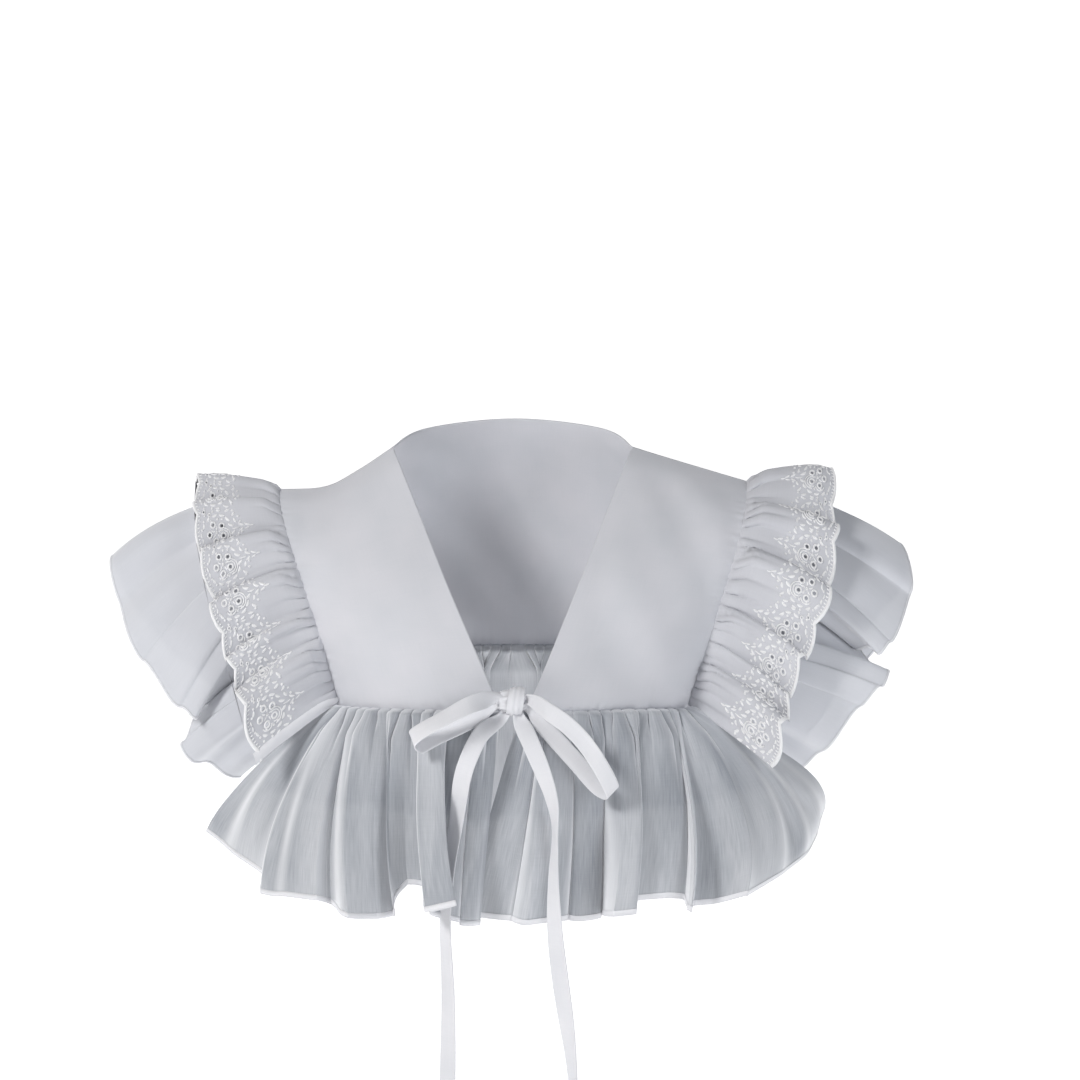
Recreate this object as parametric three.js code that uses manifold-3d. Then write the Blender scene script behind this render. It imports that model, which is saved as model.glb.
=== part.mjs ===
// Detachable cape collar: a plain cotton yoke with a V neck, an eyelet lace ruffle over a sheer
// organza ruffle round each armhole, a sheer flounce along the lower seam, and a ribbon bow.
// Millimetres, +Z up, the front faces -Y. The origin is the middle of the neck opening, level
// with the points where the neckline crosses the shoulders. Left and right are the viewer's.
import * as THREE from "three";
import { mergeVertices } from "three/addons/utils/BufferGeometryUtils.js";
import Module from "manifold-3d";

// Cloth thickness and the gaps between sewn pieces
const YOKE_THICKNESS = 1.5;
const RUFFLE_THICKNESS = 1.0;
const RIBBON_THICKNESS = 1.2;
const SEAM_GAP = 1.0;
const LAYER_OFFSET = 0.75;
const LACE_START = 1.3;
const SOFT_START = 0.65;

// Eyelet lace
const LACE_WIDTH = 75;
const LACE_ROWS = [0, 0.38, 0.72, 1];
const COLUMNS_PER_SCALLOP = 3;
const SCALLOP_DEPTH = 4.5;
const EYELETS_PER_FLOWER = 5;
const FLOWER_FROM_SEAM = 53;
const FLOWER_RADIUS = 6.5;
const EYELET_RADIUS = 1.5;
const EYELET_SIDES = 4;
const PEG_LENGTH = 8;

// A lace puff swells from its lower edge and leans over its upper one. Its fold lines and its
// flowers are at these shares of its width.
const PUFF_FOLDS = [0.4, 0.68, 0.88];
const PUFF_FLOWERS = [[], [0.48], [0.22, 0.62]];
const PUFF_LEAN = 1.1;
const PUFF_LATENESS = 1.7;
const PUFF_RISE = 0.18;
const PUFF_HEIGHT_AT_SEAM = 0.4;

// Organza and flounce
const COLUMNS_PER_FOLD = 2;

// Flounce round the back
const BACK_FOLDS = 15;
const BACK_HEM_HALF_WIDTH = 205;
const BACK_HEM_DEPTH = 120;
const BACK_HEM_SIDE_DEPTH = 46;
const BACK_HEM_MIDDLE = -335;
const BACK_HEM_SIDE = -288;
const BACK_FOLD_HEIGHT = 12;
const BACK_BOW = 12;
const BACK_SEAM_END = 0.015;

// Ribbon and knot
const RIBBON_WIDTH = 13;
const KNOT_CENTRE = [-0.6, -124.7, -169];
const KNOT_SIZE = [22, 16.6, 22];
const KNOT_ROUNDNESS = 0.7;

// Ruffles bow away from this point inside the body, and the back is this much shallower than the
// front
const BOW_CENTRE = [0, -10, -190];
const BACK_DEPTH = 0.85;

// Straight steps in each span of a table
const EDGE_STEPS = 2;

function table(columns, rows) {
  const names = columns.split(" ");
  return rows.map((row) => Object.fromEntries(names.map((name, i) => [name, row[i]])));
}

// Edges of the yoke, from the shoulder down or from the middle out
const NECK_LEFT = table("x y z", [
  [-93, 0, 0],
  [-86, -20, -12],
  [-69, -50, -47],
  [-47, -86, -94],
  [-16, -117, -160],
  [-9, -118, -179],
]);
const NECK_RIGHT = table("x y z", [
  [91, 0, 0],
  [84, -20, -12],
  [68, -50, -47],
  [46, -86, -96],
  [15, -117, -166],
  [5, -118, -179],
]);
const SHOULDER_LEFT = table("x y z", [
  [-93, 0, 0],
  [-120, 0, -18],
  [-146, 0, -31],
  [-181, 0, -33],
]);
const SHOULDER_RIGHT = table("x y z", [
  [91, 0, 0],
  [120, 0, -9],
  [150, 0, -18],
  [180, 0, -27],
]);
const ARMHOLE_LEFT = table("x y z", [
  [-181, 0, -33],
  [-180, -17, -41],
  [-173, -35, -62],
  [-162, -48, -92],
  [-147, -57, -136],
  [-133, -52, -192],
]);
const ARMHOLE_RIGHT = table("x y z", [
  [180, 0, -27],
  [179, -17, -35],
  [175, -35, -52],
  [166, -49, -82],
  [149, -57, -136],
  [132, -52, -194],
]);
const LOWER_LEFT = table("x y z", [
  [-9, -118, -179],
  [-54, -110, -180],
  [-101, -86, -185],
  [-133, -52, -192],
]);
const LOWER_RIGHT = table("x y z", [
  [5, -118, -179],
  [57, -110, -180],
  [102, -86, -185],
  [132, -52, -194],
]);
const NECK_BACK = table("x y z", [
  [-93, 0, 0],
  [-70, 44, 8],
  [0, 70, 12],
  [69, 44, 8],
  [91, 0, 0],
]);

// Outer edge of the lace ruffles from the front corner up to the shoulder, a row per point
const LACE_LEFT = table("seam x y z bow", [
  [0.01, -195, -96, -229, 3],
  [0.08, -204, -88, -203, 4],
  [0.17, -212, -76, -170, 5],
  [0.25, -223, -70, -137, 6],
  [0.33, -232, -58, -103, 6],
  [0.42, -243, -36, -62, 6],
  [0.5, -247, 0, -29, 5],
]);
const LACE_RIGHT = table("seam x y z bow", [
  [0.01, 199, -100, -231, 3],
  [0.08, 206, -92, -206, 4],
  [0.17, 213, -78, -174, 5],
  [0.25, 228, -70, -140, 6],
  [0.33, 240, -58, -110, 6],
  [0.42, 246, -36, -66, 6],
  [0.5, 248, 0, -24, 11],
]);

// Hem of the organza ruffles from the front corner up to the shoulder, a row per fold line

// Lace puffs of the front: the share of the seam where each starts, its height at the hem and its
// number of flowers. The last row ends them at the shoulder.
const PUFFS_LEFT = table("seam height flowers", [
  [0.01, 9, 2],
  [0.155, 6, 0],
  [0.21, 9, 1],
  [0.305, 9, 1],
  [0.385, 8, 1],
  [0.455, 6, 1],
  [0.5, 0, 0],
]);
const PUFFS_RIGHT = table("seam height flowers", [
  [0.01, 9, 1],
  [0.11, 5, 0],
  [0.15, 8, 1],
  [0.22, 10, 2],
  [0.345, 9, 1],
  [0.434, 7, 1],
  [0.5, 0, 0],
]);
const ORGANZA_LEFT = table("seam x y z bow", [
  [0, -215, -20, -258, 4],
  [0.05, -232, -34, -249, 5],
  [0.12, -257, -46, -225, 8],
  [0.2, -226, -6, -187, 4],
  [0.3, -246, -56, -200, 6],
  [0.4, -286, -42, -158, 8],
  [0.46, -306, -20, -119, 8],
  [0.5, -314, 0, -88, 14],
]);
const ORGANZA_RIGHT = table("seam x y z bow", [
  [0, 224, -22, -250, 4],
  [0.05, 240, -36, -232, 5],
  [0.12, 270, -48, -190, 8],
  [0.19, 288, -38, -168, 8],
  [0.26, 250, -8, -146, 4],
  [0.36, 284, -46, -150, 6],
  [0.44, 308, -18, -106, 8],
  [0.5, 300, 0, -76, 8],
]);

// Hem of the flounce's two front halves from the opening out to the side, a row per fold line
const FLOUNCE_LEFT = table("seam x y z bow", [
  [0, -25, -128, -342, 5],
  [0.1, -38, -129, -340, 6],
  [0.25, -60, -134, -329, 6],
  [0.3, -42, -160, -315, 7],
  [0.36, -60, -156, -322, 7],
  [0.41, -67, -121, -314, 6],
  [0.47, -77, -119, -312, 6],
  [0.56, -88, -138, -330, 7],
  [0.63, -98, -142, -333, 8],
  [0.72, -114, -140, -332, 8],
  [0.79, -130, -128, -326, 8],
  [0.85, -147, -131, -321, 10],
  [0.9, -166, -121, -323, 12],
  [0.925, -187, -108, -325, 14],
  [0.94, -184, -92, -318, 14],
  [0.952, -213, -70, -306, 16],
  [0.965, -236, -43, -297, 18],
]);
const FLOUNCE_RIGHT = table("seam x y z bow", [
  [0, -40, -116, -338, 2],
  [0.05, -22, -119, -338, 3],
  [0.1, -5, -131, -336, 6],
  [0.15, 12, -137, -337, 7],
  [0.2, 30, -119, -340, 5],
  [0.31, 52, -119, -339, 5],
  [0.41, 67, -125, -334, 6],
  [0.47, 73, -147, -328, 8],
  [0.56, 91, -149, -325, 8],
  [0.62, 90, -131, -321, 7],
  [0.7, 107, -130, -320, 7],
  [0.78, 122, -136, -321, 8],
  [0.83, 130, -151, -324, 10],
  [0.87, 142, -137, -324, 12],
  [0.92, 170, -140, -316, 20],
  [0.94, 200, -112, -308, 28],
  [0.955, 224, -78, -301, 34],
  [0.965, 238, -42, -284, 38],
]);

// Ribbon: a row per station. Roll turns the width from level to upright, turn swings it in plan.
const LOOP_LEFT = table("x y z roll turn", [
  [-12.5, -129, -164, 92, 0],
  [-31, -147, -166, 122, 50],
  [-50, -151, -175, 138, 70],
  [-64, -150, -183, 138, 70],
  [-73, -144, -192, 130, 60],
  [-68, -139, -198, 125, 50],
  [-55, -137, -192, 128, 55],
  [-33, -133, -182, 120, 45],
  [-12.8, -123, -169, 104, 0],
]);
const LOOP_RIGHT = table("x y z roll turn", [
  [10.8, -129, -166, 88, 0],
  [26, -146, -171, 72, 0],
  [40, -151, -180, 58, 0],
  [53, -151, -194, 50, 0],
  [65, -150, -213, 46, 0],
  [73, -145, -232, 48, 0],
  [63, -139, -230, 46, 0],
  [46, -137, -211, 44, 0],
  [24, -132, -187, 50, 0],
  [11.6, -123, -168.5, 80, 0],
]);
const TAIL_LEFT = table("x y z roll turn", [
  [-7.6, -125, -180.4, -8, 0],
  [-22, -138, -189, -45, 10],
  [-31, -142, -205, -20, 10],
  [-37, -141, -224, -8, 15],
  [-41, -139, -253, 0, 35],
  [-47, -140, -292, 0, 48],
  [-50, -141, -333, 0, 50],
  [-48, -142, -389, 0, 40],
  [-49, -142, -451, 0, 25],
  [-51, -142, -492, 0, 35],
]);
const TAIL_RIGHT = table("x y z roll turn", [
  [5.6, -125, -180.6, 0, 0],
  [13, -143, -195, 30, 0],
  [22, -148, -216, 15, 20],
  [29, -149, -238, 0, 45],
  [31, -148, -262, 0, 72],
  [30, -147, -300, 0, 55],
  [31, -146, -337, 0, 30],
  [35, -144, -375, 0, 15],
  [39, -142, -406, 0, 25],
  [43, -140, -440, 0, 50],
  [47, -139, -490, 0, 70],
]);

const vector = (row) => new THREE.Vector3(row.x, row.y, row.z);

// Smooth value of one column at a place between two rows
function columnAt(rows, name, place) {
  const last = rows.length - 1;
  const i = Math.min(Math.floor(place), last - 1);
  const t = place - i;
  const [a, b, c, d] = [i - 1, i, i + 1, i + 2].map(
    (k) => rows[THREE.MathUtils.clamp(k, 0, last)][name],
  );
  const bend = 2 * a - 5 * b + 4 * c - d;
  const twist = 3 * (b - c) + d - a;
  return b + 0.5 * t * (c - a + t * (bend + t * twist));
}

const pointAt = (rows, place) => vector({
  x: columnAt(rows, "x", place),
  y: columnAt(rows, "y", place),
  z: columnAt(rows, "z", place),
});

// An edge as a run of points, so that both pieces of a seam meet the same straight steps
function edge(rows) {
  const count = (rows.length - 1) * EDGE_STEPS;
  return Array.from({ length: count + 1 }, (_, i) => pointAt(rows, i / EDGE_STEPS));
}

// The point at a share of a run's length
function along(points, share) {
  const lengths = points.slice(1).map((p, i) => p.distanceTo(points[i]));
  let left = share * lengths.reduce((sum, l) => sum + l, 0);
  let i = 0;
  while (i < lengths.length - 1 && left > lengths[i]) {
    left -= lengths[i];
    i += 1;
  }
  return points[i].clone().lerp(points[i + 1], left / lengths[i]);
}

// Rows of the front, mirrored front to back and put on the end
function withBack(rows) {
  const back = rows.slice(0, -1).reverse();
  return [
    ...rows,
    ...back.map((row) => ({ ...row, seam: 1 - row.seam, y: -row.y * BACK_DEPTH })),
  ];
}

// The mirrored armhole behind the shoulder
function backEdge(rows) {
  return rows.map((row) => ({ ...row, y: -row.y * BACK_DEPTH }));
}

// A surface stretched between four edges: top and bottom run the same way, and so do the sides
function stretched(top, bottom, start, end) {
  const columns = top.length - 1;
  const rows = start.length - 1;
  return top.map((topPoint, i) => start.map((startPoint, j) => {
    const u = i / columns;
    const v = j / rows;
    const corners = top[0].clone().lerp(top[columns], u)
      .lerp(bottom[0].clone().lerp(bottom[columns], u), v);
    return topPoint.clone().lerp(bottom[i], v)
      .add(startPoint.clone().lerp(end[j], u))
      .sub(corners);
  }));
}

// Draws the rim of a surface in by half a seam gap
function drawnIn(grid) {
  const columns = grid.length - 1;
  const rows = grid[0].length - 1;
  const toward = (from, to) => to.clone().sub(from).setLength(SEAM_GAP / 2);
  const moved = grid.map((line) => line.map((p) => p.clone()));
  grid.forEach((line, i) => {
    moved[i][0].add(toward(line[0], line[1]));
    moved[i][rows].add(toward(line[rows], line[rows - 1]));
  });
  for (let j = 0; j <= rows; j++) {
    moved[0][j].add(toward(grid[0][j], grid[1][j]));
    moved[columns][j].add(toward(grid[columns][j], grid[columns - 1][j]));
  }
  return moved;
}

// A closed sheet of the given thickness about a grid of points
function sheet(grid, thickness) {
  const columns = grid.length;
  const rows = grid[0].length;
  const at = (i, j) => grid[THREE.MathUtils.clamp(i, 0, columns - 1)][
    THREE.MathUtils.clamp(j, 0, rows - 1)];
  const faces = [[], []];
  grid.forEach((line, i) => line.forEach((p, j) => {
    const alongColumns = at(i + 1, j).clone().sub(at(i - 1, j));
    const alongRows = at(i, j + 1).clone().sub(at(i, j - 1));
    const half = alongColumns.cross(alongRows).setLength(thickness / 2);
    faces[0].push(p.clone().add(half));
    faces[1].push(p.clone().sub(half));
  }));
  const front = (i, j) => i * rows + j;
  const back = (i, j) => columns * rows + front(i, j);
  const index = [];
  const quad = (a, b, c, d) => index.push(a, b, c, a, c, d);
  for (let i = 0; i < columns - 1; i++)
    for (let j = 0; j < rows - 1; j++) {
      quad(front(i, j), front(i + 1, j), front(i + 1, j + 1), front(i, j + 1));
      quad(back(i, j), back(i, j + 1), back(i + 1, j + 1), back(i + 1, j));
    }
  for (let i = 0; i < columns - 1; i++) {
    quad(back(i, 0), back(i + 1, 0), front(i + 1, 0), front(i, 0));
    quad(back(i + 1, rows - 1), back(i, rows - 1), front(i, rows - 1), front(i + 1, rows - 1));
  }
  for (let j = 0; j < rows - 1; j++) {
    quad(back(columns - 1, j), back(columns - 1, j + 1),
      front(columns - 1, j + 1), front(columns - 1, j));
    quad(back(0, j + 1), back(0, j), front(0, j), front(0, j + 1));
  }
  const geometry = new THREE.BufferGeometry().setFromPoints(faces.flat());
  geometry.setIndex(index);
  geometry.computeVertexNormals();
  return geometry;
}

// The direction of a seam at a share of its length
function seamRun(seam, share) {
  const reach = 0.02;
  return along(seam, Math.min(share + reach, 1))
    .sub(along(seam, Math.max(share - reach, 0)))
    .normalize();
}

// A gathered strip: each fold line runs from its place on the seam to its point on the hem and
// bows away from the body on the way. The layer lifts it off the seam on the side that
// shows, and the wave lifts it further and slides it along the seam.
function gathered(seam, folds, side, layer, start, wave) {
  return (place, share) => {
    const i = Math.min(Math.floor(place), folds.length - 2);
    const seamShare = THREE.MathUtils.lerp(folds[i].seam, folds[i + 1].seam, place - i);
    const base = along(seam, seamShare);
    const out = pointAt(folds, place).sub(base);
    const run = seamRun(seam, seamShare);
    const face = run.clone().cross(out).normalize().multiplyScalar(side);
    base.addScaledVector(face, layer).addScaledVector(out.clone().normalize(), start);
    const away = base.clone().sub(new THREE.Vector3(...BOW_CENTRE)).normalize();
    const bow = columnAt(folds, "bow", place) * 4 * share * (1 - share);
    const { lift, slide } = wave(seamShare, share);
    return base.addScaledVector(out, share)
      .addScaledVector(away, bow)
      .addScaledVector(face, lift)
      .addScaledVector(run, slide);
  };
}

// The place on a table of fold lines that meets the seam at a share of it
function placeAt(folds, seamShare) {
  let i = 0;
  while (i < folds.length - 2 && seamShare > folds[i + 1].seam)
    i += 1;
  return i + (seamShare - folds[i].seam) / (folds[i + 1].seam - folds[i].seam);
}

function grid(surface, columns, perFold, shares) {
  return Array.from({ length: columns + 1 }, (_, i) =>
    shares.map((share) => surface(i / perFold, share)));
}

const evenShares = (count) => Array.from({ length: count + 1 }, (_, j) => j / count);
const flat = () => ({ lift: 0, slide: 0 });

// Yoke
function yokeFront(neck, shoulder, armhole, lower, mirrored) {
  const points = stretched(edge(shoulder), edge(lower), edge(neck), edge(armhole));
  const inset = drawnIn(points);
  return sheet(mirrored ? inset.reverse() : inset, YOKE_THICKNESS);
}

function yokeBack(lowerBack) {
  const top = [
    ...edge(SHOULDER_LEFT).reverse(),
    ...edge(NECK_BACK).slice(1, -1),
    ...edge(SHOULDER_RIGHT),
  ];
  const bottom = top.map((_, i) => along(lowerBack, i / (top.length - 1)));
  const points = stretched(top, bottom, edge(backEdge(ARMHOLE_LEFT)), edge(backEdge(ARMHOLE_RIGHT)));
  return sheet(drawnIn(points).reverse(), YOKE_THICKNESS);
}

function lowerBackSeam() {
  const left = backEdge(LOWER_LEFT).slice(1).reverse();
  const right = backEdge(LOWER_RIGHT).slice(1);
  return edge([...left, ...right]);
}

// Armhole seam from the front corner over the shoulder to the back corner
function armholeSeam(rows) {
  const front = edge(rows).reverse();
  return [...front, ...edge(backEdge(rows)).slice(1)];
}

// Lace puffs of both halves, from the front corner to the back one. A place counts puffs, and the
// rise of a back one is mirrored, so that every puff leans up to the shoulder.
function puffsOf(rows) {
  const front = rows.slice(0, -1).map((row, i) => ({ ...row, end: rows[i + 1].seam, up: 1 }));
  const back = front.map((puff) => ({ ...puff, seam: 1 - puff.end, end: 1 - puff.seam, up: -1 }));
  return [...front, ...back.reverse()];
}

const upShare = (puff, x) => (puff.up > 0 ? x : 1 - x);

function laceSurface(seam, folds, puffs, side) {
  const wave = (seamShare, share) => {
    const puff = puffs.find(({ end }) => seamShare <= end) ?? puffs[puffs.length - 1];
    const x = upShare(puff, (seamShare - puff.seam) / (puff.end - puff.seam));
    const swell = Math.max(Math.sin(Math.PI * THREE.MathUtils.clamp(x, 0, 1) ** PUFF_LATENESS), 0);
    const height = puff.height * THREE.MathUtils.smoothstep(share, 0, PUFF_RISE)
      * THREE.MathUtils.lerp(PUFF_HEIGHT_AT_SEAM, 1, share);
    return { lift: swell * height, slide: swell * height * PUFF_LEAN * puff.up };
  };
  const plain = gathered(seam, folds, side, LAYER_OFFSET, LACE_START, wave);
  return (place, share) => {
    const k = Math.min(Math.floor(place), puffs.length - 1);
    const seamShare = THREE.MathUtils.lerp(puffs[k].seam, puffs[k].end, place - k);
    return plain(placeAt(folds, seamShare), share);
  };
}

// Lace
function laceRuffle(seam, folds, rows, side) {
  const puffs = puffsOf(rows);
  const surface = laceSurface(seam, folds, puffs, side);
  const foldsOf = (puff) => PUFF_FOLDS.map((x) => upShare(puff, x)).sort((a, b) => a - b);
  const places = [0, ...puffs.flatMap((puff, k) => [...foldsOf(puff), 1].map((x) => k + x))];
  const points = places.map((place, i) => LACE_ROWS.map((share) => {
    const turn = (Math.PI * i) / COLUMNS_PER_SCALLOP;
    const cut = (SCALLOP_DEPTH / LACE_WIDTH) * (1 - Math.abs(Math.sin(turn)));
    return surface(place, share * (1 - cut * share));
  }));
  const body = sheet(side > 0 ? points : points.reverse(), RUFFLE_THICKNESS);
  return pierced(body, surface, puffs);
}

const wasm = await Module();
wasm.setup();

function solidOf(geometry) {
  const bare = geometry.clone();
  bare.deleteAttribute("normal");
  bare.deleteAttribute("uv");
  const merged = mergeVertices(bare, 1e-4);
  return new wasm.Manifold(new wasm.Mesh({
    numProp: 3,
    vertProperties: merged.attributes.position.array,
    triVerts: new Uint32Array(merged.index.array),
  }));
}

function geometryOf(solid) {
  const mesh = solid.getMesh();
  const geometry = new THREE.BufferGeometry();
  geometry.setAttribute("position", new THREE.BufferAttribute(mesh.vertProperties, 3));
  geometry.setIndex(new THREE.BufferAttribute(mesh.triVerts, 1));
  geometry.computeVertexNormals();
  return geometry;
}

// Cuts the eyelets of the embroidered flowers through a lace ruffle
function pierced(geometry, surface, puffs) {
  const middle = FLOWER_FROM_SEAM / LACE_WIDTH;
  const step = 0.02;
  const centres = puffs.flatMap((puff, k) =>
    PUFF_FLOWERS[puff.flowers].map((x) => k + upShare(puff, x)));
  let solid = solidOf(geometry);
  for (const place of centres) {
    const centre = surface(place, middle);
    const placeLength = surface(place + step, middle).distanceTo(centre) / step;
    const shareLength = surface(place, middle + step).distanceTo(centre) / step;
    for (let eyelet = 0; eyelet < EYELETS_PER_FLOWER; eyelet++) {
      const angle = (2 * Math.PI * (eyelet + 0.25)) / EYELETS_PER_FLOWER;
      const eyeletPlace = place + (FLOWER_RADIUS * Math.cos(angle)) / placeLength;
      const eyeletShare = middle + (FLOWER_RADIUS * Math.sin(angle)) / shareLength;
      solid = solid.subtract(punch(surface, eyeletPlace, eyeletShare, step));
    }
  }
  return geometryOf(solid);
}

// A peg through the surface
function punch(surface, place, share, step) {
  const centre = surface(place, share);
  const acrossPlace = surface(place + step, share).sub(centre);
  const acrossShare = surface(place, share + step).sub(centre);
  const axis = acrossPlace.cross(acrossShare).normalize();
  const peg = new THREE.CylinderGeometry(EYELET_RADIUS, EYELET_RADIUS, PEG_LENGTH, EYELET_SIDES);
  peg.applyQuaternion(new THREE.Quaternion().setFromUnitVectors(new THREE.Vector3(0, 1, 0), axis));
  peg.translate(centre.x, centre.y, centre.z);
  return solidOf(peg);
}

// Organza and flounce
function softRuffle(seam, folds, side, layer, rows) {
  const surface = gathered(seam, folds, side, layer, SOFT_START, flat);
  const columns = (folds.length - 1) * COLUMNS_PER_FOLD;
  const points = grid(surface, columns, COLUMNS_PER_FOLD, evenShares(rows));
  return sheet(side > 0 ? points : points.reverse(), RUFFLE_THICKNESS);
}

// Fold lines of the back flounce, in and out by turns
function backFolds() {
  return Array.from({ length: BACK_FOLDS }, (_, i) => {
    const share = i / (BACK_FOLDS - 1);
    const middle = Math.sin(Math.PI * share);
    const swing = i % 2 ? BACK_FOLD_HEIGHT : -BACK_FOLD_HEIGHT;
    return {
      seam: THREE.MathUtils.lerp(BACK_SEAM_END, 1 - BACK_SEAM_END, share),
      x: THREE.MathUtils.lerp(-BACK_HEM_HALF_WIDTH, BACK_HEM_HALF_WIDTH, share),
      y: THREE.MathUtils.lerp(BACK_HEM_SIDE_DEPTH, BACK_HEM_DEPTH, middle) + swing * middle,
      z: THREE.MathUtils.lerp(BACK_HEM_SIDE, BACK_HEM_MIDDLE, middle),
      bow: BACK_BOW,
    };
  });
}

// Ribbon
function ribbon(rows) {
  const stations = (rows.length - 1) * EDGE_STEPS;
  const sides = [-RIBBON_WIDTH / 2, RIBBON_WIDTH / 2].map((reach) =>
    Array.from({ length: stations + 1 }, (_, i) => {
      const place = i / EDGE_STEPS;
      const roll = THREE.MathUtils.degToRad(columnAt(rows, "roll", place));
      const turn = THREE.MathUtils.degToRad(columnAt(rows, "turn", place));
      const width = new THREE.Vector3(
        Math.cos(roll) * Math.cos(turn),
        -Math.cos(roll) * Math.sin(turn),
        Math.sin(roll),
      );
      return pointAt(rows, place).addScaledVector(width, reach);
    }));
  return sheet(sides, RIBBON_THICKNESS);
}

// A ball swelled towards a box
function knot() {
  const geometry = new THREE.SphereGeometry(1, 12, 7);
  const position = geometry.getAttribute("position");
  const swell = (value) => Math.sign(value) * Math.abs(value) ** KNOT_ROUNDNESS;
  for (let i = 0; i < position.count; i++)
    position.setXYZ(i, ...[position.getX(i), position.getY(i), position.getZ(i)].map(swell));
  geometry.rotateX(Math.PI / 2);
  geometry.scale(...KNOT_SIZE.map((size) => size / 2));
  geometry.translate(...KNOT_CENTRE);
  return geometryOf(solidOf(geometry));
}

// Materials
function fabric(color, roughness) {
  return new THREE.MeshStandardMaterial({ color, roughness, metalness: 0 });
}
const COTTON = fabric(0xf0f0f6, 0.85);
const LACE = fabric(0xf6f6fa, 0.9);
const ORGANZA = fabric(0xe6e8ef, 0.55);
const CHIFFON = fabric(0xe2e4ec, 0.6);
const RIBBON = fabric(0xf2f2f7, 0.8);

// Assembly
const collar = new THREE.Group();
collar.name = "detachable_collar";

function add(name, geometry, material) {
  const mesh = new THREE.Mesh(geometry, material);
  mesh.name = name;
  collar.add(mesh);
}

const seamLeft = armholeSeam(ARMHOLE_LEFT);
const seamRight = armholeSeam(ARMHOLE_RIGHT);
const seamBack = lowerBackSeam();

add("yoke_front_left", yokeFront(NECK_LEFT, SHOULDER_LEFT, ARMHOLE_LEFT, LOWER_LEFT, true), COTTON);
add("yoke_front_right", yokeFront(NECK_RIGHT, SHOULDER_RIGHT, ARMHOLE_RIGHT, LOWER_RIGHT, false), COTTON);
add("yoke_back", yokeBack(seamBack), COTTON);
add("lace_ruffle_left", laceRuffle(seamLeft, withBack(LACE_LEFT), PUFFS_LEFT, 1), LACE);
add("lace_ruffle_right", laceRuffle(seamRight, withBack(LACE_RIGHT), PUFFS_RIGHT, -1), LACE);
add("organza_ruffle_left",
  softRuffle(seamLeft, withBack(ORGANZA_LEFT), 1, -LAYER_OFFSET, 4), ORGANZA);
add("organza_ruffle_right",
  softRuffle(seamRight, withBack(ORGANZA_RIGHT), -1, -LAYER_OFFSET, 4), ORGANZA);
add("flounce_front_left", softRuffle(edge(LOWER_LEFT), FLOUNCE_LEFT, 1, 0, 5), CHIFFON);
add("flounce_front_right", softRuffle(edge(LOWER_RIGHT), FLOUNCE_RIGHT, -1, 0, 5), CHIFFON);
add("flounce_back", softRuffle(seamBack, backFolds(), -1, 0, 4), CHIFFON);
add("tie_knot", knot(), RIBBON);
add("tie_loop_left", ribbon(LOOP_LEFT), RIBBON);
add("tie_loop_right", ribbon(LOOP_RIGHT), RIBBON);
add("tie_tail_left", ribbon(TAIL_LEFT), RIBBON);
add("tie_tail_right", ribbon(TAIL_RIGHT), RIBBON);

export default collar;
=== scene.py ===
import math

import bpy
import numpy as np
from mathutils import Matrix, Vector
from mathutils.geometry import delaunay_2d_cdt


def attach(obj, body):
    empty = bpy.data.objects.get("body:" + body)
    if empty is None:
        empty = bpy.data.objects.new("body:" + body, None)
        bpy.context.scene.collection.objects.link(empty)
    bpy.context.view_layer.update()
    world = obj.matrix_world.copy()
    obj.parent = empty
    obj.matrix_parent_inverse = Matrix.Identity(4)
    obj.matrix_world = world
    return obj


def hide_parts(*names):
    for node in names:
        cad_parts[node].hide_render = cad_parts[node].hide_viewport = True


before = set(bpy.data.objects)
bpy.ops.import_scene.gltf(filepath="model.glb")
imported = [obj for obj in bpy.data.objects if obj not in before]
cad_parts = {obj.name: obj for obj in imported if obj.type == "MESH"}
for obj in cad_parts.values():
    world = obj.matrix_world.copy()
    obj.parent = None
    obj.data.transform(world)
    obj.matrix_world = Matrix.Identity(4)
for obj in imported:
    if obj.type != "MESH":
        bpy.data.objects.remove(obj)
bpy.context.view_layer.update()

MM = 0.001

# Camera: what it looks at, its distance, height angle and lens
TARGET = Vector((20, -60, -61)) * MM
DISTANCE = 1.9
ELEVATION = math.radians(11)
LENS = 84.44
LIGHT_AIM = Vector((0, -0.05, -0.15))

# Cloth, in mm
YOKE_THICKNESS = 1.1
LACE_THICKNESS = 0.45
RIBBON_THICKNESS = 0.8
LAYER_OFFSET = 0.25
SEAM_TUCK = -1.5
PUCKER = 0.45
PUCKER_REACH = 6.0
TOPSTITCH_INSET = 3.0
# The depth of the back as a share of the front's
BACK_DEPTH = 0.85
# The strips bow away from this point
BOW_CENTRE = np.array([0, -10, -190])

# Pleats: how round they are, and how far their sides draw together
PLEAT_ROUNDNESS = 0.62
PLEAT_DRAW = 0.2
SEAM_PLEAT_WIDTHS = (6.0, 12.0)
SEAM_PLEAT_REACHES = (12, 46)
SEAM_PLEAT_RISE = 3.5
LONG_FOLD_REACHES = (150, 900)
LONG_FOLD_RISE = 25.0

# Lace
LACE_WIDTH = 75
SCALLOP_PITCH = 36
SCALLOP_DEPTH = 5.5
PUFF_LEAN = 1.45
PUFF_LATENESS = 1.7
PUFF_RISE = 0.18
PUFF_HEIGHT_AT_SEAM = 0.5
PETALS = 5
FLOWER_FROM_SEAM = 53
FLOWER_RADIUS = 6.8
EYELET_RADIUS = 1.35
FRINGE_PITCH = 2.6
TURNED_END = 9.5
# Small eyelets between flowers: mm before the middle, mm from the seam, radius
SMALL_EYELETS = ((0.0, 62.0, 0.75), (3.2, 57.0, 0.6))

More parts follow.
